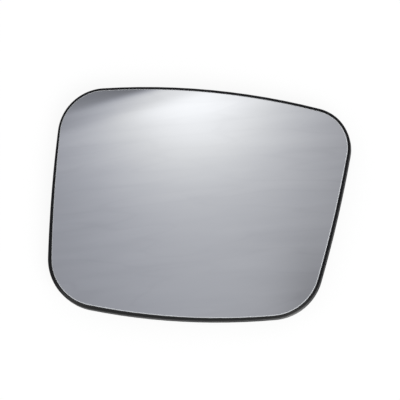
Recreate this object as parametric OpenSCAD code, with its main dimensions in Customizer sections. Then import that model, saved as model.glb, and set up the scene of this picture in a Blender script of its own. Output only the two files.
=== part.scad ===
// Door mirror glass on its clip-on carrier, lying on its back with the glass facing +Z.
// X runs to the right and Y upwards as the glass is looked at from the front, in millimetres.
// The origin is the middle of the clip ring's end face, the plane that the part rests on.

/* [Outline] */
// Sideways place of the top right corner's centre
top_right_x = 67.9; // [62:0.1:78]
// Height of the top right corner's centre
top_right_y = 30.8; // [26:0.1:34]
// Radius of the top right corner
top_right_r = 23.9; // [16:0.1:28]
// Sideways place of the top left corner's centre
top_left_x = -51.9; // [-60:0.1:-46]
// Height of the top left corner's centre
top_left_y = 41.6; // [38:0.1:46]
// Radius of the top left corner
top_left_r = 27.5; // [20:0.1:32]
// Sideways place of the bottom left corner's centre
bottom_left_x = -54.3; // [-62:0.1:-48]
// Height of the bottom left corner's centre
bottom_left_y = -31.2; // [-38:0.1:-28]
// Radius of the bottom left corner
bottom_left_r = 30.4; // [20:0.1:34]
// Sideways place of the bottom right corner's centre
bottom_right_x = 45.1; // [40:0.1:50]
// Height of the bottom right corner's centre
bottom_right_y = -38.5; // [-44:0.1:-32]
// Radius of the bottom right corner
bottom_right_r = 30.2; // [22:0.1:34]
// Radius of the bowed top edge
top_bow_r = 430; // [300:10:900]
// Radius of the bowed left edge
left_bow_r = 880; // [400:10:1200]
// Radius of the bowed bottom edge
bottom_bow_r = 370; // [250:10:900]
// Radius of the bowed right edge
right_bow_r = 700; // [400:10:1200]

/* [Mirror glass] */
// Convex radius of the glass's front face
glass_radius = 1300; // [1000:50:2000]
// Thickness of the glass
glass_t = 2; // [1.6:0.1:3]
// Gap between the glass's ground edge and the rim
glass_gap = 0.15; // [0.1:0.05:0.4]

/* [Heater foil and pad] */
// Thickness of the adhesive film between two layers
glue_t = 0.1; // [0.05:0.05:0.2]
// Thickness of the printed heater foil
foil_t = 0.3; // [0.2:0.05:0.5]
// How far the foil and the pad stop short of the glass's edge
foil_margin = 3; // [1:0.5:6]
// Thickness of the double-sided foam pad
pad_t = 1.2; // [1:0.1:2]
// Gap round each terminal's foot in the pad
pad_clearance = 0.8; // [0.5:0.1:1.5]

/* [Carrier plate] */
// Thickness of the dished plate
plate_t = 2; // [1.6:0.1:3]
// Thickness of the rim round the glass at the top right corner
rim_top_right_t = 1.35; // [1:0.05:2]
// Thickness of the rim at the top left corner
rim_top_left_t = 1.05; // [0.8:0.05:2]
// Thickness of the rim at the bottom left corner
rim_bottom_left_t = 1.95; // [1:0.05:2.5]
// Thickness of the rim at the bottom right corner
rim_bottom_right_t = 1.45; // [1:0.05:2]
// How far the rim stands proud of the glass
rim_proud = 0.25; // [0:0.05:0.6]
// Depth of the skirt behind the dished plate
skirt_depth = 1.6; // [1:0.1:4]
// Width of the fine step round the wall where the mould's halves meet
part_step = 0.12; // [0.05:0.01:0.2]

/* [Clip ring] */
// Inner radius of the clip ring
ring_r = 38; // [34:0.5:42]
// Thickness of the clip ring's wall
ring_t = 2; // [1.6:0.1:3]
// Height of the clip ring from its end face to the back of the plate's middle
ring_h = 12; // [10:0.5:16]
// Number of spring fingers in the clip ring
finger_count = 8; // [6:1:9]
// Width of one spring finger
finger_w = 10; // [8:0.5:12]
// Thickness of one spring finger
finger_t = 1.5; // [1.2:0.1:1.6]
// Width of the slot beside each finger
slot_w = 1.6; // [1.2:0.1:2.2]
// How much shorter a finger is than the ring
finger_short = 0.6; // [0.3:0.1:1.5]
// How far each barb reaches inwards
barb_reach = 1.1; // [0.9:0.1:1.5]
// Height of the barb's lead-in slope
barb_lead = 2; // [1.5:0.1:3]
// Height of the barb's gripping land
barb_land = 1; // [0.6:0.1:1.5]
// Height of the barb's catching slope
barb_catch = 0.8; // [0.4:0.1:1.2]
// Depth of the mould window in front of each barb
window_depth = 3; // [2:0.5:4]
// Gap between a mould window and its finger's wall
window_gap = 0.3; // [0.2:0.1:0.6]
// Width of the two locating keys inside the ring
key_w = 4; // [3:0.5:6]
// How far the locating keys reach inwards
key_reach = 0.8; // [0.5:0.1:0.8]

/* [Ribs] */
// Thickness of each rib
rib_t = 1.3; // [1:0.1:2]
// Height of the ribs that follow the dish
rib_h = 1.5; // [1:0.1:2.5]
// Height of the gussets outside the clip ring
gusset_h = 6.5; // [4:0.5:9]
// How far the gussets run out from the clip ring
gusset_reach = 9; // [6:0.5:10]
// Radius of the outer ring rib
outer_rib_r = 53; // [52:0.5:58]
// Radius of the hub ring in the middle of the plate
hub_r = 13; // [10:0.5:14]
// Radius of the marks that the mould's ejector pins leave in the plate's back
pin_r = 2.5; // [1.5:0.25:3]
// Depth of the ejector pins' marks
pin_depth = 0.15; // [0.1:0.05:0.3]
// Distance of the inner pins from the middle
inner_pin_r = 25; // [22:0.5:28]
// Distance of the outer pins from the middle
outer_pin_r = 68; // [62:1:72]

/* [Terminals] */
// Sideways distance of each terminal from the middle
terminal_x = 11; // [10:0.5:12]
// Distance of the terminals' row below the middle
terminal_y = 23; // [22:0.5:24]
// Width of a terminal's blade
blade_w = 6.3; // [4.8:0.1:6.3]
// Thickness of a terminal's sheet
blade_t = 0.8; // [0.5:0.1:0.8]
// Length of a blade from the foil to its tip
blade_h = 10.5; // [9:0.5:11.5]
// Length of a terminal's foot
foot_l = 9; // [8:0.5:10]
// Length of the bevel at the blade's tip
blade_bevel = 1.2; // [0.6:0.1:1.6]
// Radius of the detent hole through each blade
blade_hole_r = 0.9; // [0.5:0.1:1.1]
// Radius of the hollow rivet's shank
rivet_r = 1.3; // [1:0.1:1.6]
// Wall of the hollow rivet
rivet_wall = 0.35; // [0.25:0.05:0.5]
// How far the rivet's flange reaches beyond its shank
flange_reach = 0.8; // [0.5:0.1:1.2]
// Thickness of the rivet's flange
flange_t = 0.4; // [0.3:0.05:0.6]
// Gap between a terminal and the edge of its window in the plate
terminal_clearance = 1.2; // [0.8:0.1:1.6]

/* [Hidden] */

ball_fn = 200;
round_fn = 96;
small_fn = 32;
corner_steps = 24;
bow_steps = 12;
// How far a cutting body runs past what it cuts
over = 1;
// How deep the walls behind the plate are rooted in it
root = 1;

corners = [
    [top_right_x, top_right_y, top_right_r],
    [top_left_x, top_left_y, top_left_r],
    [bottom_left_x, bottom_left_y, bottom_left_r],
    [bottom_right_x, bottom_right_y, bottom_right_r],
];
bow_r = [top_bow_r, left_bow_r, bottom_bow_r, right_bow_r];
rim_t = [rim_top_right_t, rim_top_left_t, rim_bottom_left_t, rim_bottom_right_t];

// Every face of the dish is a sphere about one centre, and each layer has its own radius
glass_back_r = glass_radius - glass_t;
foil_front_r = glass_back_r - glue_t;
foil_back_r = foil_front_r - foil_t;
pad_front_r = foil_back_r - glue_t;
pad_back_r = pad_front_r - pad_t;
plate_front_r = pad_back_r - glue_t;
plate_back_r = plate_front_r - plate_t;
dish_z = ring_h - plate_back_r;
stack_h = dish_z + glass_radius + rim_proud;

foil_inset = glass_gap + foil_margin;
ring_outer_r = ring_r + ring_t;
ring_mid_r = ring_r + ring_t / 2;
finger_pitch = 360 / finger_count;
land_r = ring_r - barb_reach;
land_z = finger_short + barb_lead;
terminals = [[-terminal_x, -terminal_y], [terminal_x, -terminal_y]];

function flat(p) = [p.x, p.y];
function toward(from, to) = (to - from) / norm(to - from);

// Height of a sphere of the dish at a distance from the middle
function dish_height(r, away) = dish_z + sqrt(r * r - away * away);

// Centre of the big arc that touches two corner arcs, on the inner side of the line between them
function bow_centre(c1, c2, big_r) =
    let (
        step = flat(c2) - flat(c1),
        len = norm(step),
        u = step / len,
        a = big_r - c1.z,
        b = big_r - c2.z,
        along = (a * a - b * b + len * len) / (2 * len),
        across = sqrt(a * a - along * along)
    )
    flat(c1) + along * u + across * [-u.y, u.x];

// Each corner's circle drawn in by widths[k], with the radius and centre of the bow that follows it
function drawn_in(widths) =
    let (
        circles = [for (k = [0:3]) corners[k] - [0, 0, widths[k]]],
        radii = [for (k = [0:3]) bow_r[k] - (widths[k] + widths[(k + 1) % 4]) / 2]
    )
    [for (k = [0:3]) [circles[k], radii[k], bow_centre(circles[k], circles[(k + 1) % 4], radii[k])]];

outer_form = drawn_in([0, 0, 0, 0]);
inner_form = drawn_in(rim_t);

// Where corner k's arc meets one of the bowed edges beside it
function meet(form, k, edge, inset) =
    flat(form[k][0]) + (form[k][0].z - inset) * toward(form[edge][2], flat(form[k][0]));

// Points along an arc, counterclockwise from p towards q, which the next arc begins with
function arc(centre, r, p, q, steps) =
    let (
        from = atan2(p.y - centre.y, p.x - centre.x),
        last = atan2(q.y - centre.y, q.x - centre.x),
        to = last < from ? last + 360 : last
    )
    [for (i = [0:steps - 1]) let (a = from + (to - from) * i / steps) centre + r * [cos(a), sin(a)]];

function corner_arc(form, k, inset) =
    arc(flat(form[k][0]), form[k][0].z - inset, meet(form, k, (k + 3) % 4, inset), meet(form, k, k, inset),
        corner_steps);
function bow_arc(form, k, inset) =
    arc(form[k][2], form[k][1] - inset, meet(form, k, k, inset), meet(form, (k + 1) % 4, k, inset),
        bow_steps);

// An outline of four corner arcs and four bowed edges, moved inwards by inset
module outline(form, inset = 0) {
    polygon([for (k = [0:3]) each concat(corner_arc(form, k, inset), bow_arc(form, k, inset))]);
}

// A ball about the dish's centre, turned so that its poles lie away from the part
module ball(r) {
    translate([0, 0, dish_z]) rotate([90, 0, 0]) sphere(r, $fn = ball_fn);
}

// The part of an outline's prism that lies between two spheres of the dish
module layer(outer_r, inner_r) {
    difference() {
        intersection() {
            linear_extrude(stack_h + over) children();
            ball(outer_r);
        }
        ball(inner_r);
    }
}

// An upright wall of thickness t that runs outwards from the middle
module radial_wall(from, to, t, low, high) {
    translate([from, -t / 2, low]) cube([to - from, t, high - low]);
}

module tube(outer_r, inner_r, low, high) {
    translate([0, 0, low]) difference() {
        cylinder(r = outer_r, h = high - low, $fn = round_fn);
        translate([0, 0, -over]) cylinder(r = inner_r, h = high - low + 2 * over, $fn = round_fn);
    }
}

// One copy of the children at each fixed stretch of the clip ring
module at_stretches() {
    for (i = [0:finger_count - 1]) rotate(finger_pitch * i) children();
}

// One copy of the children at each finger, halfway between two fixed stretches
module at_fingers() {
    rotate(finger_pitch / 2) at_stretches() children();
}

// The convex glass, mirrored on its front
module mirror_glass() {
    color("silver") layer(glass_radius, glass_back_r) outline(inner_form, glass_gap);
}

// The self-adhesive foil with the heating track, with a hole for each rivet
module heater_foil() {
    color("lightgray") difference() {
        layer(foil_front_r, foil_back_r) outline(inner_form, foil_inset);
        for (t = terminals)
            translate([t.x, t.y, 0]) cylinder(r = rivet_r, h = stack_h + over, $fn = small_fn);
    }
}

// The box round a terminal's foot with a gap on each side, through all the layers
module foot_space(t, gap) {
    translate([t.x - foot_l / 2 - gap, t.y - blade_w / 2 - gap, 0])
        cube([foot_l + 2 * gap, blade_w + 2 * gap, stack_h + over]);
}

// The double-sided foam pad, cut out round the terminals' feet
module foam_pad() {
    color("dimgray") difference() {
        layer(pad_front_r, pad_back_r) outline(inner_form, foil_inset);
        for (t = terminals) foot_space(t, pad_clearance);
    }
}

// The dished plate with the rim round the glass and the skirt behind, set in a little from the rim
module tray() {
    layer(plate_front_r, plate_back_r) outline(outer_form, part_step);
    difference() {
        union() {
            layer(glass_radius + rim_proud, plate_front_r) outline(outer_form);
            layer(plate_front_r, plate_back_r - skirt_depth) outline(outer_form, part_step);
        }
        translate([0, 0, -over]) linear_extrude(stack_h + 3 * over) outline(inner_form);
    }
}

// The low ribs that follow the dish: the hub, the spokes, the outer ring and the long ribs
module low_ribs() {
    low = dish_height(plate_back_r, top_right_x + top_right_r) - 2 * rib_h;
    difference() {
        union() {
            tube(hub_r + rib_t / 2, hub_r - rib_t / 2, low, stack_h);
            tube(outer_rib_r + rib_t / 2, outer_rib_r - rib_t / 2, low, stack_h);
            at_stretches() radial_wall(hub_r, ring_mid_r, rib_t, low, stack_h);
            at_stretches() radial_wall(ring_mid_r, -2 * bottom_left_x, rib_t, low, stack_h);
            at_fingers() radial_wall(outer_rib_r, -2 * bottom_left_x, rib_t, low, stack_h);
        }
        ball(plate_back_r - rib_h);
    }
}

// A sloping web that props the clip ring on the plate
module gusset() {
    foot_height = dish_height(plate_back_r, ring_outer_r + gusset_reach);
    rotate([90, 0, 0]) translate([0, 0, -rib_t / 2]) linear_extrude(rib_t) polygon([
        [ring_mid_r, ring_h + root],
        [ring_mid_r, ring_h - gusset_h],
        [ring_outer_r, ring_h - gusset_h],
        [ring_outer_r + gusset_reach, foot_height],
        [ring_outer_r + gusset_reach, ring_h + root],
    ]);
}

// Half-section of a finger: its free end has a lead-in, a gripping land and a catch behind it
module finger_section() {
    polygon([
        [ring_r, ring_h + root],
        [ring_r, land_z + barb_land + barb_catch],
        [land_r, land_z + barb_land],
        [land_r, land_z],
        [ring_r, finger_short],
        [ring_r + finger_t, finger_short],
        [ring_r + finger_t, ring_h + root],
    ]);
}

module finger() {
    sweep = 2 * asin(finger_w / 2 / ring_r);
    rotate(-sweep / 2) rotate_extrude(angle = sweep, $fn = round_fn) finger_section();
}

// The stretch of the ring's wall that is cut away for a finger and its two slots
module finger_gap() {
    radial_wall(ring_r - over, ring_outer_r + over, finger_w + 2 * slot_w, -over, ring_h);
}

// The round wall that snaps over the adjuster's plate, with its fingers and locating keys
module clip_ring() {
    difference() {
        tube(ring_outer_r, ring_r, 0, ring_h + root);
        at_fingers() finger_gap();
    }
    at_fingers() finger();
    for (a = [90, 270]) rotate(a) radial_wall(ring_r - key_reach, ring_mid_r, key_w, 0, ring_h + root);
}

// The mould's window through the plate in front of a barb
module finger_window() {
    outer = sqrt(ring_r * ring_r - finger_w * finger_w / 4) - window_gap;
    radial_wall(outer - window_depth, outer, finger_w, ring_h / 2, stack_h);
}

// The shallow round marks that the ejector pins leave between the ribs
module pin_marks() {
    intersection() {
        ball(plate_back_r + pin_depth);
        union() {
            for (i = [0:3]) rotate(finger_pitch * (i + 0.5)) pin(inner_pin_r);
            for (a = [0, 180], b = [-0.25, 0.25]) rotate(a + b * finger_pitch) pin(outer_pin_r);
        }
    }
}

module pin(away) {
    translate([away, 0, 0]) cylinder(r = pin_r, h = stack_h, $fn = small_fn);
}

// The black moulding: tray, ribs, gussets and clip ring in one piece
module carrier_plate() {
    color("#1c1c1e") difference() {
        union() {
            tray();
            intersection() {
                ball(plate_back_r + root);
                linear_extrude(stack_h) outline(outer_form, min(rim_t) / 2);
                union() {
                    low_ribs();
                    at_stretches() gusset();
                    clip_ring();
                }
            }
        }
        at_fingers() finger_window();
        pin_marks();
        for (t = terminals) foot_space(t, terminal_clearance);
    }
}

// Height of a foot's upper face, at which its outermost corner just touches the foil
function foot_z(t) = dish_height(foil_back_r, norm([abs(t.x) + foot_l / 2, abs(t.y) + blade_w / 2]));

// A tinned tab bent from strip: its foot lies on the foil and its blade stands backwards
module terminal(t, side) {
    color("gainsboro") translate([t.x, t.y, foot_z(t)]) difference() {
        union() {
            translate([-foot_l / 2, -blade_w / 2, -blade_t]) cube([foot_l, blade_w, blade_t]);
            translate([side * (foot_l - blade_t) / 2, 0, 0]) rotate([90, 0, 90])
                linear_extrude(blade_t, center = true) polygon([
                    [-blade_w / 2, 0],
                    [-blade_w / 2, blade_bevel - blade_h],
                    [blade_bevel - blade_w / 2, -blade_h],
                    [blade_w / 2 - blade_bevel, -blade_h],
                    [blade_w / 2, blade_bevel - blade_h],
                    [blade_w / 2, 0],
                ]);
        }
        translate([0, 0, -blade_t - over]) cylinder(r = rivet_r, h = blade_t + 2 * over, $fn = small_fn);
        translate([side * (foot_l - blade_t) / 2, 0, blade_w / 2 - blade_h]) rotate([0, 90, 0])
            cylinder(r = blade_hole_r, h = blade_t + 2 * over, center = true, $fn = small_fn);
    }
}

module terminal_left() terminal(terminals[0], -1);
module terminal_right() terminal(terminals[1], 1);

// A hollow rivet that ties a terminal's foot to the foil and ends flush with the foil's front
module rivet(t) {
    flange_z = foot_z(t) - blade_t - flange_t;
    top_z = dish_height(foil_front_r, norm(t) + rivet_r);
    color("goldenrod") translate([t.x, t.y, 0]) difference() {
        union() {
            translate([0, 0, flange_z]) cylinder(r = rivet_r + flange_reach, h = flange_t, $fn = small_fn);
            translate([0, 0, flange_z]) cylinder(r = rivet_r, h = top_z - flange_z, $fn = small_fn);
        }
        translate([0, 0, flange_z - over]) cylinder(r = rivet_r - rivet_wall, h = stack_h, $fn = small_fn);
    }
}

module rivet_left() rivet(terminals[0]);
module rivet_right() rivet(terminals[1]);

mirror_glass();
heater_foil();
foam_pad();
carrier_plate();
terminal_left();
terminal_right();
rivet_left();
rivet_right();
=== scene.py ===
# A car door mirror glass: a convex mirror in a thin black rim, bonded over a heater foil and a foam pad
# to a dished carrier that clips to the housing's adjuster. It lies on its back with the glass upwards.
import math

import bmesh
import bpy
from mathutils import Matrix, Vector


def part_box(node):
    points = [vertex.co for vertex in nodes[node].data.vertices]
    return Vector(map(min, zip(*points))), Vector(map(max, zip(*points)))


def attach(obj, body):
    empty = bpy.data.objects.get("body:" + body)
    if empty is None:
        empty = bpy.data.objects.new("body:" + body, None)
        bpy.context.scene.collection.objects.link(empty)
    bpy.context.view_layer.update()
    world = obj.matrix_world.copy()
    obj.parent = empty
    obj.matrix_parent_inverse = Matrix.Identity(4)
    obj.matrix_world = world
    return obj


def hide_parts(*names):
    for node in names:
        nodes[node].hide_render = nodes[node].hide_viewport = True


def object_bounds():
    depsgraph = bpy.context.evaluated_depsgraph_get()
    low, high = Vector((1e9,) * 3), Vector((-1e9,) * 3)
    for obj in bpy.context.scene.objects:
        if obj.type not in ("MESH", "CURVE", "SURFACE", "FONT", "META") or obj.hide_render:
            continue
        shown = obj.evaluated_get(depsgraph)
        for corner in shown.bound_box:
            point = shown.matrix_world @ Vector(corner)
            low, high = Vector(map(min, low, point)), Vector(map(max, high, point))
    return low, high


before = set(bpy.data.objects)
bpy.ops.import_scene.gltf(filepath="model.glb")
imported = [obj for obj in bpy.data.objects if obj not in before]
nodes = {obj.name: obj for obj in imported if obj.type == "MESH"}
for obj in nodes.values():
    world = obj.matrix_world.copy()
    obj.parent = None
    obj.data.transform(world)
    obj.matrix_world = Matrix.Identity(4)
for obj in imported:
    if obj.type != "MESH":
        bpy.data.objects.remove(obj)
cad_low, cad_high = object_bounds()


# The camera
# A long lens looks down at the front of the glass, a little from its right and from below.
VIEW_FROM = Vector((0.12, -0.18, 1.0)).normalized()
VIEW_DISTANCE = 2.5
LENS = 388.8
AIM = Vector((0.0046, 0.0011, cad_high.z - 0.0003))

camera = bpy.data.objects.new("camera", bpy.data.cameras.new("camera"))
camera.data.lens = LENS
view_right = Vector((0, 1, 0)).cross(VIEW_FROM).normalized()
view_up = VIEW_FROM.cross(view_right)
turn = Matrix((view_right, view_up, VIEW_FROM)).transposed().to_4x4()
camera.matrix_world = Matrix.Translation(AIM + VIEW_DISTANCE * VIEW_FROM) @ turn
bpy.context.scene.collection.objects.link(camera)
bpy.context.scene.camera = camera


# The carrier
# One black injection moulding: the dished plate with its rim, ribs and clip ring. Its faces are finely
# grained by the mould and its rim is well rounded outside. Its top is painted blacker than its wall as
# painted shade, its lower edge is painted paler as painted light, and its two lower corners carry pale
# painted reflections. Each painted reflection is a place, a reach and a strength.
GLASS_RADIUS = 1.3
WELD = 1e-6
FLAT = math.radians(0.1)
SHARP = math.radians(32)
UPRIGHT = 0.2
EDGE_ROUND = 0.00016
FINE_SHARE = 0.2
LIP_ROUND = 0.00055
LIP_RADIUS = 1.30025
STEP_WIDTH = 0.0002
# Painted shade: the rim's top is given a blacker colour than the wall below it.
SHADED_LIP_BLACK = (0.005, 0.005, 0.006, 1)
WALL_BLACK = (0.012, 0.012, 0.013, 1)
# Painted light: the lip and wall along the lower edge are given paler colours, where the lower rim
# catches the light.
LIT_LOWER_LIP = (0.015, 0.015, 0.015, 1)
LIT_LOWER_WALL = (0.024, 0.024, 0.025, 1)
LOWER_LIGHT_START = -0.046
LOWER_LIGHT_FULL = -0.062
# Painted reflections: pale grey patches on the two lower corners stand in for light reflected off the
# wall.
GLINT_GREY = (0.17, 0.17, 0.17, 1)
GLINT_STRETCH = (1, 1, 2.2)
PAINTED_GLINTS = [((0.058, -0.0665, 0.0085), 0.009, 1.0), ((-0.073, -0.055, 0.0085), 0.0105, 0.75)]
GRAIN_SCALE = 2000
GRAIN_DEPTH = 0.00008


class Value:
    """A shader socket. Sums and products of values add their Math nodes."""

    def __init__(self, finish, socket):
        self.finish = finish
        self.socket = socket

    def math(self, operation, *others):
        return self.finish.math(operation, self, *others)

    def __add__(self, other):
        return self.math("ADD", other)

    def __mul__(self, other):
        return self.math("MULTIPLY", other)

    def __sub__(self, other):
        return self.math("SUBTRACT", other)

    def __rsub__(self, other):
        return self.finish.math("SUBTRACT", other, self)

    def __truediv__(self, other):
        return self.math("DIVIDE", other)

    def __rtruediv__(self, other):
        return self.finish.math("DIVIDE", other, self)

    __radd__ = __add__
    __rmul__ = __mul__


class Finish:
    """The node tree of a material or of the world."""

    def __init__(self, owner):
        owner.use_nodes = True
        self.owner = owner
        self.tree = owner.node_tree
        self.tree.nodes.clear()

    def node(self, kind, settings=None, inputs=None, output=0):
        made = self.tree.nodes.new(kind)
        for name, setting in (settings or {}).items():
            setattr(made, name, setting)
        for name, value in (inputs or {}).items():
            if isinstance(value, Value):
                self.tree.links.new(value.socket, made.inputs[name])
            else:
                made.inputs[name].default_value = value
        return Value(self, made.outputs[output] if made.outputs else None)

    def math(self, operation, *values):
        return self.node("ShaderNodeMath", {"operation": operation}, dict(enumerate(values)))

    def ramp(self, value, low, high):
        """0 where value is low, 1 where it is high, and smooth between them."""
        limits = {"From Min": low, "From Max": high}
        settings = {"interpolation_type": "SMOOTHSTEP"}
        return self.node("ShaderNodeMapRange", settings, {"Value": value, **limits})

    def mix(self, share, first, second):
        inputs = {0: share, 6: first, 7: second}
        return self.node("ShaderNodeMix", {"data_type": "RGBA"}, inputs, output=2)

    def place(self, scale=(1, 1, 1), middle=(0, 0, 0)):
        """Object coordinates about a point, stretched by scale."""
        here = self.node("ShaderNodeTexCoord", output="Object")
        away = self.node("ShaderNodeVectorMath", {"operation": "SUBTRACT"}, {0: here, 1: middle})
        return self.node("ShaderNodeVectorMath", {"operation": "MULTIPLY"}, {0: away, 1: scale})

    def noise(self, scale, detail=3.0, where=None):
        inputs = {"Vector": where or self.place(), "Scale": scale, "Detail": detail}
        return self.node("ShaderNodeTexNoise", None, inputs)

    def bump(self, height, depth):
        return self.node("ShaderNodeBump", None, {"Height": height, "Distance": depth})

    def parts(self, vector):
        """The x, y and z of a vector."""
        inputs = {"Vector": vector}
        return [self.node("ShaderNodeSeparateXYZ", None, inputs, output=axis) for axis in "XYZ"]

    def surface(self, **sockets):
        """Ends a material in one Principled shader. A socket's spaces are written as low lines."""
        inputs = {name.replace("_", " "): value for name, value in sockets.items()}
        shader = self.node("ShaderNodeBsdfPrincipled", None, inputs)
        self.node("ShaderNodeOutputMaterial", None, {"Surface": shader})
        return self.owner


def new_finish(name):
    return Finish(bpy.data.materials.new(name))


def joined_copy(node):
    """A CAD piece's mesh with its loose triangles joined and its flat faces whole."""
    shape = bmesh.new()
    shape.from_mesh(nodes[node].data)
    bmesh.ops.remove_doubles(shape, verts=shape.verts, dist=WELD)
    bmesh.ops.dissolve_limit(shape, angle_limit=FLAT, verts=shape.verts, edges=shape.edges)
    return shape


def new_piece(name, shape, materials, fine_edges=None):
    """Makes a piece of the object from a bmesh, with smooth faces between its sharp edges."""
    mesh = bpy.data.meshes.new(name)
    weight = shape.edges.layers.float.new("bevel_weight_edge")
    for face in shape.faces:
        face.smooth = True
    for edge in shape.edges:
        edge.smooth = edge.is_manifold and edge.calc_face_angle(0) < SHARP
        edge[weight] = 0 if edge.smooth else 1
    for edge in fine_edges(shape) if fine_edges else []:
        edge[weight] = FINE_SHARE
    shape.to_mesh(mesh)
    shape.free()
    for material in materials:
        mesh.materials.append(material)
    piece = bpy.data.objects.new(name, mesh)
    bpy.context.scene.collection.objects.link(piece)
    return piece


def round_edges(piece, width, segments=2):
    rounding = piece.modifiers.new("rounded edges", "BEVEL")
    rounding.width = width
    rounding.segments = segments
    rounding.limit_method = "WEIGHT"
    rounding.use_clamp_overlap = False
    rounding.harden_normals = True
    return piece


def stand_for(piece, node):
    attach(piece, "root")
    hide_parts(node)
    return piece


def distance(finish, middle, scale=(1, 1, 1)):
    here = finish.place(scale, middle)
    return finish.node("ShaderNodeVectorMath", {"operation": "LENGTH"}, {0: here}, output="Value")


def bell(value, middle, width):
    """1 where value is middle, falling softly to 0 on both sides."""
    off = (value - middle) / width
    return (0 - off * off).math("EXPONENT")


def below_lip(finish, top):
    """0 on the rim's top and 1 from a little below it, at a height that follows the dish."""
    x, y, z = finish.parts(finish.place())
    level = z + (x * x + y * y) / (2 * GLASS_RADIUS)
    return finish.ramp(level, top - LIP_ROUND / 2, top - 3 * LIP_ROUND)


def moulded_black():
    f = new_finish("moulded_black")
    grain = f.noise(GRAIN_SCALE, 3)
    flow = f.ramp(f.noise(14, 4), 0.35, 0.65)
    wall = below_lip(f, cad_high.z)
    y = f.parts(f.place())[1]
    # Painted shade: the rim's top is given a blacker colour than its wall.
    shaded_top_black = f.mix(wall, SHADED_LIP_BLACK, WALL_BLACK)
    # Painted light: towards the bottom the rim's top and wall turn paler, where the lower rim catches
    # the light.
    lit_lower_black = f.mix(wall, LIT_LOWER_LIP, LIT_LOWER_WALL)
    black = f.mix(f.ramp(y, LOWER_LIGHT_START, LOWER_LIGHT_FULL) * (0.8 + 0.2 * flow), shaded_top_black, lit_lower_black)
    # Painted reflections: pale patches at the two lower corners, broken up by fine noise.
    glint_share = sum(strength * bell(distance(f, spot, GLINT_STRETCH), 0.0, reach)
                  for spot, reach, strength in PAINTED_GLINTS)
    glint_breakup = f.ramp(f.noise(3200, 4), 0.3, 0.7)
    colour = f.mix(glint_share * (0.8 + 0.3 * glint_breakup), black, GLINT_GREY)
    rough = 0.46 + 0.12 * flow + 0.16 * grain
    return f.surface(Base_Color=colour, Roughness=rough, IOR=1.49, Specular_IOR_Level=0.24,
                     Normal=f.bump(f.ramp(grain, 0.3, 0.7), GRAIN_DEPTH))


def lip_edges(shape):
    """The outer edge of the rim's top, all the way round."""
    centre = Vector((0, 0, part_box("mirror_glass")[1].z - GLASS_RADIUS))
    top = {v for v in shape.verts if abs((v.co - centre).length - LIP_RADIUS) < WELD * 20}
    upright = [f for f in shape.faces if abs(f.normal.z) < UPRIGHT]
    outward = {f for f in upright if f.normal.xy.dot(f.calc_center_median().xy) > 0}
    return [e for e in shape.edges if set(e.verts) <= top and outward & set(e.link_faces)]


def parting_edges(shape):
    """The edges of the fine step round the wall."""
    downward = [f for f in shape.faces if f.normal.z < -0.9]
    step = [f for f in downward if f.calc_area() < f.calc_perimeter() * STEP_WIDTH / 2]
    return {edge for face in step for edge in face.edges if edge.calc_face_angle(0) > SHARP}


carrier_shape = joined_copy("carrier_plate")
bmesh.ops.bevel(carrier_shape, geom=lip_edges(carrier_shape), offset=LIP_ROUND, segments=4, profile=0.5,
                affect="EDGES", clamp_overlap=False, material=-1)
carrier = new_piece("carrier_moulding", carrier_shape, [moulded_black()], parting_edges)
round_edges(carrier, EDGE_ROUND)
stand_for(carrier, "carrier_plate")


# The foam pad
# A die-cut sheet of black closed-cell foam, sticky on both faces, that bonds the foil to the plate.
PAD_ROUND = 0.00012
# Painted shade: the cell pits are given a darker colour than the cell walls.
CELL_PIT_SHADE = (0.012, 0.012, 0.013, 1)
CELL_WALL = (0.045, 0.045, 0.047, 1)


def black_foam():
    f = new_finish("black_foam")
    cells = f.node("ShaderNodeTexVoronoi", None, {"Vector": f.place(), "Scale": 1900})
    # Painted shade in the hollows: the colour darkens where the cells' bump dips.
    shade = f.mix(f.ramp(cells, 0.1, 0.7), CELL_PIT_SHADE, CELL_WALL)
    return f.surface(Base_Color=shade, Roughness=0.85, Normal=f.bump(cells, 0.00012))


pad = new_piece("foam_pad_sheet", joined_copy("foam_pad"), [black_foam()])
round_edges(pad, PAD_ROUND)
stand_for(pad, "foam_pad")


# The heater foil
# A clear-coated polyester sheet with a silvery track printed on its back in close parallel runs.
TRACK_PITCH = 0.0042
FILM_CREAM = (0.62, 0.60, 0.52, 1)
TRACK_GREY = (0.30, 0.31, 0.32, 1)


def printed_foil():
    f = new_finish("printed_foil")
    y = f.parts(f.place())[1]
    wave = f.math("PINGPONG", y, TRACK_PITCH / 2) / (TRACK_PITCH / 2)
    track = f.ramp(wave, 0.42, 0.5)
    film = f.noise(900, 2)
    colour = f.mix(track, FILM_CREAM, TRACK_GREY)
    return f.surface(Base_Color=colour, Roughness=0.34 + 0.2 * film, Metallic=0.5 * track,
                     Normal=f.bump(track + 0.1 * film, 0.00002))


nodes["heater_foil"].data.materials.clear()
nodes["heater_foil"].data.materials.append(printed_foil())


# The terminals
# Two tabs bent from tinned brass strip. Each lies with its foot on the foil and stands its blade
# backwards, to take a push-on connector.
TAB_ROUND = 0.00009
BRIGHT_TIN = (0.72, 0.73, 0.74, 1)
DULL_TIN = (0.58, 0.58, 0.57, 1)


def tinned_strip():
    f = new_finish("tinned_strip")
    rolled = f.noise(700, 3, f.place(scale=(1, 1, 0.06)))
    dull = f.ramp(f.noise(220, 3), 0.4, 0.7)
    colour = f.mix(dull, BRIGHT_TIN, DULL_TIN)
    return f.surface(Base_Color=colour, Metallic=1.0, Roughness=0.22 + 0.12 * dull + 0.1 * rolled,
                     Normal=f.bump(rolled, 0.000015))


tin = tinned_strip()
for side in ("left", "right"):
    tab = new_piece("tab_" + side, joined_copy("terminal_" + side), [tin])
    round_edges(tab, TAB_ROUND)
    stand_for(tab, "terminal_" + side)


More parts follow.
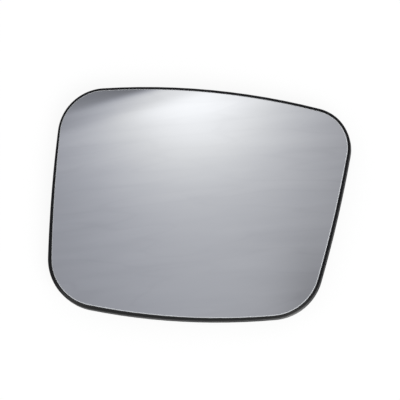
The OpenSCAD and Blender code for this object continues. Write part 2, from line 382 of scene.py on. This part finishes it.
# The rivets
# A hollow brass rivet clinches each tab's foot to the foil. Its flange is rolled over behind the foot.
RIVET_ROUND = 0.00007
BRIGHT_BRASS = (0.80, 0.60, 0.30, 1)
BROWN_BRASS = (0.45, 0.31, 0.15, 1)


def worn_brass():
    f = new_finish("worn_brass")
    patina = f.ramp(f.noise(600, 4), 0.42, 0.68)
    colour = f.mix(patina, BRIGHT_BRASS, BROWN_BRASS)
    return f.surface(Base_Color=colour, Metallic=1.0, Roughness=0.24 + 0.22 * patina)


brass = worn_brass()
for side in ("left", "right"):
    rivet = new_piece("hollow_rivet_" + side, joined_copy("rivet_" + side), [brass])
    round_edges(rivet, RIVET_ROUND, 3)
    stand_for(rivet, "rivet_" + side)


# The mirror glass
# Convex float glass with a bright reflecting coat on its front and dark paint on its back. Its edge is
# ground, with a narrow bevel at the front. The rings of its mesh crowd towards the edge, so that what it
# shows runs true up to the bevel.
GLASS_THICK = 0.002
BEVEL = 0.00042
FRONT_REACH = 0.0002
BACK_MARGIN = 0.004
RINGS = 36
RING_CROWDING = 1.3
CLEAR_SILVER = (0.885, 0.905, 0.935, 1)
HAZY_SILVER = (0.875, 0.897, 0.930, 1)
GROUND_SHADE = (0.65, 0.67, 0.70, 1)
GROUND_LIGHT = (0.80, 0.82, 0.85, 1)
DARK_PAINT = (0.10, 0.10, 0.11, 1)
PALE_PAINT = (0.15, 0.15, 0.16, 1)
GROUND, BACKING = 1, 2


def mirror_coat():
    f = new_finish("mirror_coat")
    haze = f.ramp(f.noise(26, 4, f.place(scale=(1, 2.5, 1))), 0.35, 0.75)
    colour = f.mix(haze, CLEAR_SILVER, HAZY_SILVER)
    return f.surface(Base_Color=colour, Metallic=1.0, Roughness=0.010 + 0.014 * haze)


def ground_edge():
    f = new_finish("ground_edge")
    grit = f.noise(5200, 2)
    colour = f.mix(grit, GROUND_SHADE, GROUND_LIGHT)
    return f.surface(Base_Color=colour, Roughness=0.42 + 0.2 * grit, Normal=f.bump(grit, 0.00002))


def backing_paint():
    f = new_finish("backing_paint")
    peel = f.noise(1500, 2)
    colour = f.mix(peel, DARK_PAINT, PALE_PAINT)
    return f.surface(Base_Color=colour, Roughness=0.5 + 0.2 * peel, Normal=f.bump(peel, 0.00002))


def front_border(node, centre, radius):
    """The edge loop round a CAD sheet's front face, whose points lie on the sphere of that radius."""
    shape = joined_copy(node)
    front = {f for f in shape.faces
             if abs((f.calc_center_median() - centre).length - radius) < FRONT_REACH}
    rest = [f for f in shape.faces if f not in front]
    bmesh.ops.delete(shape, geom=rest, context="FACES")
    inner = [e for e in shape.edges if not e.is_boundary]
    bmesh.ops.delete(shape, geom=inner, context="EDGES_FACES")
    loose = [v for v in shape.verts if not v.link_edges]
    bmesh.ops.delete(shape, geom=loose, context="VERTS")
    return shape


def onto_sphere(points, centre, radius):
    for point in points:
        point.co.z = centre.z + math.sqrt(radius ** 2 - point.co.x ** 2 - point.co.y ** 2)


def extruded(shape, edges):
    """Extrudes edges and gives the new ones with their points."""
    made = bmesh.ops.extrude_edge_only(shape, edges=edges)["geom"]
    new_edges = [g for g in made if isinstance(g, bmesh.types.BMEdge)]
    return new_edges, [g for g in made if isinstance(g, bmesh.types.BMVert)]


def ground_glass():
    centre = Vector((0, 0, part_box("mirror_glass")[1].z - GLASS_RADIUS))
    shape = front_border("mirror_glass", centre, GLASS_RADIUS)
    onto_sphere(shape.verts, centre, GLASS_RADIUS)
    border = shape.edges[:]
    loop = border
    shares = [1 - (ring / RINGS) ** RING_CROWDING for ring in range(RINGS)]
    for outer, inner in zip(shares, shares[1:]):
        loop, points = extruded(shape, loop)
        bmesh.ops.scale(shape, vec=(inner / outer, inner / outer, 1), verts=points)
        onto_sphere(points, centre, GLASS_RADIUS)
    pole = bmesh.ops.contextual_create(shape, geom=loop)["faces"]
    bmesh.ops.poke(shape, faces=pole)
    side, points = extruded(shape, border)
    bmesh.ops.translate(shape, vec=(0, 0, -GLASS_THICK), verts=points)
    back = bmesh.ops.contextual_create(shape, geom=side)["faces"]
    bmesh.ops.inset_region(shape, faces=back, thickness=BACK_MARGIN)
    bmesh.ops.recalc_face_normals(shape, faces=shape.faces)
    return shape, border


glass_shape, glass_border = ground_glass()
for face in glass_shape.faces:
    if abs(face.normal.z) < 0.5:
        face.material_index = GROUND
    elif face.normal.z < 0:
        face.material_index = BACKING
bmesh.ops.bevel(glass_shape, geom=glass_border, offset=BEVEL, segments=1, profile=0.5, affect="EDGES",
                material=GROUND)
glass = new_piece("ground_mirror_glass", glass_shape, [mirror_coat(), ground_edge(), backing_paint()])
stand_for(glass, "mirror_glass")


# The studio
# A white floor, one soft lamp and a pale surround. What the mirror shows is a broad soft glow above it,
# faintly streaked like a sheet of tissue, and a dim card that leans into it at the upper left. From low
# sides it shows pale walls and a leaning panel of light. Directions are given as x / z and y / z.
FLOOR_SIZE = 12.0
FLOOR_GLOW = 0.88
FLOOR_WHITE = (0.90, 0.90, 0.90, 1)
FLOOR_WHITER = (0.93, 0.93, 0.93, 1)
LAMP_PLACE = Vector((0.9, -1.1, 1.8))
LAMP_SIZE = 1.4
LAMP_POWER = 26.0
SURROUND = 0.85
DIMMEST = 0.28
WALLS = 0.85
PALEST_WALL = 0.52
LOWEST = 0.15
OVERHEAD = (0.70, 0.84)
SKY_LEVEL = 0.1346
SKY_FALL = 0.2751
SKY_RISE = 0.1154
GLOW = {"strength": 0.616, "across": (-0.128, 0.109), "along": (0.329, 0.105)}
SPREAD = {"strength": 0.305, "across": (-0.072, 0.197), "along": (0.240, 0.376)}
LOW_SHADE = {"strength": 0.319, "across": (0.019, 0.037), "along": (0.020, 0.1)}
CARD_EDGE = {"slope": 0.2036, "edge": 0.3544, "width": 0.0028}
CARD_LEFT, CARD_RIGHT, CARD_FAR = -0.5, 0.1, 0.46
CARD_DEPTH = 1.902
CARD_DEEPENING = 5.70
HALF_SHADE_EDGE = {"slope": 0.238, "edge": 0.3395, "width": 0.0029}
HALF_SHADE = 0.237
TISSUE_SLOPE = 0.07
SHEEN = 0.17
WRINKLES = 0.03
BANDS = 0.22
BAND_EDGE = {"slope": 0.22, "edge": 0.332, "width": 0.010}
PANEL_NEAR, PANEL_FAR = 0.34, 0.47
PANEL_SOFTNESS = 0.006
PANEL_LIGHT = 0.16
GLOW_TINT = (1.004, 0.999, 0.997, 1)
LEFT_TINT = (0.986, 0.997, 1.082, 1)
RIGHT_TINT = (0.998, 0.996, 1.044, 1)
WHITE = (1, 1, 1, 1)


def soft_step(value, edge, width):
    """0 below edge and 1 above it, with a soft border."""
    return 1 / (1 + ((edge - value) / width).math("EXPONENT"))


def clamped(value, low, high):
    return value.math("MAXIMUM", low).math("MINIMUM", high)


def pale_floor():
    f = new_finish("pale_floor")
    cloth = f.noise(3, 3)
    paper = f.node("ShaderNodeBsdfDiffuse", None, {"Color": f.mix(cloth, FLOOR_WHITE, FLOOR_WHITER)})
    white = f.node("ShaderNodeEmission", None, {"Strength": 1.0})
    rays = f.node("ShaderNodeLightPath", output="Is Camera Ray")
    floor_shader = f.node("ShaderNodeMixShader", None, {0: rays * FLOOR_GLOW, 1: paper, 2: white})
    f.node("ShaderNodeOutputMaterial", None, {"Surface": floor_shader})
    return f.owner


def patch(way, strength, across, along):
    """A soft round of light or shade overhead."""
    return strength * bell(way[0], *across) * bell(way[1], *along)


def beyond(way, slope, edge, width):
    """1 beyond a soft edge that climbs to the right with the slope."""
    return soft_step(way[1] - slope * way[0], edge, width)


def drawn_noise(way, wide, high, detail, shift=0.0):
    """Noise drawn out across, with so many patches to a unit each way."""
    f = way[0].finish
    place = f.node("ShaderNodeCombineXYZ", None, {0: way[0] * wide + shift, 1: way[1] * high})
    return f.noise(1.0, detail, place)


def card_reach(way):
    """1 over the dim card, and 0 past its ends."""
    left_end = soft_step(way[0], CARD_LEFT, 0.03)
    right_end = soft_step(CARD_RIGHT - way[0], 0.0, 0.03)
    far_end = soft_step(CARD_FAR - way[1], 0.0, 0.02)
    return left_end * right_end * far_end


def soft_sky(way, height):
    """The glow, its spread and the slow change overhead, with the walls paler towards the horizon."""
    glow = patch(way, **GLOW) + patch(way, **SPREAD)
    falling = SKY_FALL * clamped(way[0], -0.35, 0.15)
    rising = SKY_RISE * clamped(way[1], -0.1, 0.4)
    change = SKY_LEVEL - falling + rising
    walls = (WALLS * (1 - height).math("POWER", 1.5)).math("SMOOTH_MIN", PALEST_WALL, 0.2)
    return (glow + change + walls).math("MAXIMUM", DIMMEST)


def shades(way):
    """The share of the light that the dim card, its half shade and the low shade leave."""
    reach = card_reach(way)
    core = clamped(CARD_DEPTH + CARD_DEEPENING * way[0], 0.05, 0.85) * beyond(way, **CARD_EDGE)
    half = HALF_SHADE * beyond(way, **HALF_SHADE_EDGE)
    return (1 - core * reach) * (1 - half * reach) * (1 - patch(way, **LOW_SHADE))


def tissue(way):
    """Faint streaks and wrinkles, stronger towards both ends, and bands over the card."""
    f = way[0].finish
    run = (way[0], way[1] - TISSUE_SLOPE * way[0])
    sheen = drawn_noise(run, 8.0, 62.0, 3) - 0.5
    waves = drawn_noise(run, 6.0, 42.0, 1, 9.0) - 0.5
    wrinkles = 1 - f.ramp(waves.math("ABSOLUTE"), 0.0, 0.03)
    ends = 0.5 + 4.0 * (way[0] + 0.12).math("ABSOLUTE").math("MINIMUM", 0.2)
    steeper = (way[0], run[1] - 2 * TISSUE_SLOPE * way[0])
    bands = (drawn_noise(steeper, 3.0, 120.0, 2) - 0.5) * beyond(way, **BAND_EDGE) * card_reach(way)
    return (SHEEN * sheen - WRINKLES * wrinkles) * ends + BANDS * bands


def leaning_panel(x, y, z):
    """1 in a band of directions between two soft leaning edges."""
    leaning = x + y + z
    near = soft_step(leaning, PANEL_NEAR, PANEL_SOFTNESS)
    return near * soft_step(PANEL_FAR - leaning, 0.0, PANEL_SOFTNESS)


def studio_world():
    f = Finish(bpy.data.worlds.new("studio"))
    x, y, z = f.parts(f.node("ShaderNodeTexCoord", output="Generated"))
    height = z.math("MAXIMUM", LOWEST)
    way = (x / height, y / height)
    overhead = f.ramp(height, *OVERHEAD)
    panel = PANEL_LIGHT * leaning_panel(x, y, z) * (1 - overhead)
    bright = soft_sky(way, height) * shades(way) * (1 + tissue(way) * overhead) + panel
    side_tint = f.mix(f.ramp(way[0], -0.27, 0.06), LEFT_TINT, RIGHT_TINT)
    tint = f.mix(f.ramp(bright, DIMMEST, 0.80), side_tint, GLOW_TINT)
    studio = f.node("ShaderNodeBackground", None, {"Color": tint, "Strength": bright})
    plain = f.node("ShaderNodeBackground", None, {"Color": WHITE, "Strength": SURROUND})
    white = f.node("ShaderNodeBackground", None, {"Color": WHITE, "Strength": 1.0})
    glossy = f.node("ShaderNodeLightPath", output="Is Glossy Ray")
    seen = f.node("ShaderNodeLightPath", output="Is Camera Ray")
    lit = f.node("ShaderNodeMixShader", None, {0: glossy, 1: plain, 2: studio})
    shown = f.node("ShaderNodeMixShader", None, {0: seen, 1: lit, 2: white})
    f.node("ShaderNodeOutputWorld", None, {"Surface": shown})
    return f.owner


floor_shape = bmesh.new()
bmesh.ops.create_grid(floor_shape, x_segments=8, y_segments=8, size=FLOOR_SIZE / 2)
floor = new_piece("floor", floor_shape, [pale_floor()])

lamp = bpy.data.objects.new("soft_lamp", bpy.data.lights.new("soft_lamp", "AREA"))
lamp.data.shape = "DISK"
lamp.data.size = LAMP_SIZE
lamp.data.energy = LAMP_POWER
lamp_turn = LAMP_PLACE.to_track_quat("Z", "Y").to_matrix().to_4x4()
lamp.matrix_world = Matrix.Translation(LAMP_PLACE) @ lamp_turn
lamp.visible_glossy = False
bpy.context.scene.collection.objects.link(lamp)

bpy.context.scene.world = studio_world()
bpy.context.scene.view_settings.view_transform = "Standard"
